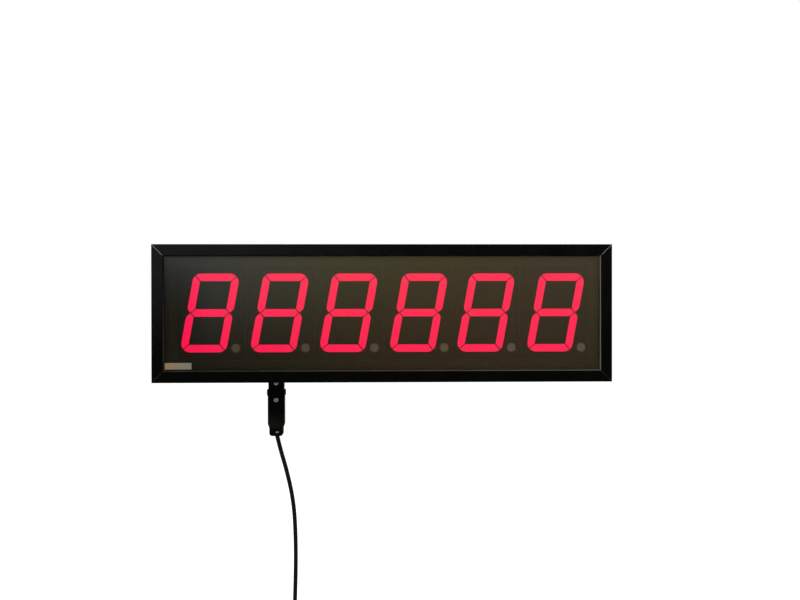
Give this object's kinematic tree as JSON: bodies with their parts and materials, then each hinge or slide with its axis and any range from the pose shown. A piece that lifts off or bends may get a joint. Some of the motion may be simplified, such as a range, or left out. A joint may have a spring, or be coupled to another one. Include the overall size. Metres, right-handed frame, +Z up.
{
  "type": "numeric LED display",
  "caption": "Wide wall-hung numeric LED display: mitred black frame, smoked window, slanted red digits with decimal points, rear steel tray and a supply lead in a connector below.",
  "frame": {"origin": "middle of the four wall inserts, on the back face of the rear tray", "axes": "+X to the right seen from the front, -Y out of the front window, +Z up"},
  "size_m": [0.58, 0.075, 0.6338],
  "materials": {
    "anodised_black": "satin black anodised",
    "alloy": "mill finish",
    "smoked_acrylic": "smoked, glossy",
    "bead_grey": "satin grey",
    "tray_black": "fine black powder coat",
    "zinc_steel": "zinc plated",
    "digit_black": "matte",
    "lit_red": "cast diffusing resin, lit",
    "unlit_point": "cast diffusing resin, unlit",
    "board_green": "solder resist",
    "chip_pale": "clear resin",
    "pin_tin": "tinned or nickel plated",
    "chip_black": "moulded",
    "ribbon_grey": "flat ribbon",
    "can_dark": "sleeved",
    "terminal_green": "moulded",
    "wire_sheath": "insulation",
    "connector_black": "moulded, satin",
    "contact_brass": "tinned brass",
    "cable_black": "glossy black sheath"
  },
  "bodies": {
    "root": {"frame_top": "anodised_black", "frame_bottom": "anodised_black", "frame_left": "anodised_black", "frame_right": "anodised_black", "corner_keys": "alloy", "heat_sink": "alloy", "window": "smoked_acrylic", "window_bead": "bead_grey", "rear_tray": "tray_black", "tray_screws": "zinc_steel", "wall_inserts": "zinc_steel", "board_screws": "zinc_steel", "connector_screw": "zinc_steel", "inlet_screw": "zinc_steel", "display_posts": "zinc_steel", "board_posts": "zinc_steel", "digit_case_1": "digit_black", "digit_case_2": "digit_black", "digit_case_3": "digit_black", "digit_case_4": "digit_black", "digit_case_5": "digit_black", "digit_case_6": "digit_black", "digit_segments_1": "lit_red", "digit_segments_2": "lit_red", "digit_segments_3": "lit_red", "digit_segments_4": "lit_red", "digit_segments_5": "lit_red", "digit_segments_6": "lit_red", "decimal_points": "unlit_point", "digit_boards": "board_green", "display_board": "board_green", "control_board": "board_green", "power_board": "board_green", "light_chips": "chip_pale", "digit_pins": "pin_tin", "plug_pins": "pin_tin", "earth_clips": "pin_tin", "driver_chips": "chip_black", "processor": "chip_black", "regulator": "chip_black", "transformer": "chip_black", "fuse_holder": "chip_black", "ribbon_headers": "chip_black", "ribbon_cable": "ribbon_grey", "capacitors": "can_dark", "terminal_block": "terminal_green", "inlet_wires": "wire_sheath", "cable_cores": "wire_sheath", "inlet_body": "connector_black", "contact_block": "connector_black", "connector_front": "connector_black", "connector_rear": "connector_black", "cable_clamp": "connector_black", "inlet_pins": "contact_brass", "contact_sleeves": "contact_brass", "supply_cable": "cable_black", "cable_coil": "cable_black", "cable_tail": "cable_black", "cable_tie": "cable_black", "mains_plug": "cable_black"}
  },
  "joints": []
}
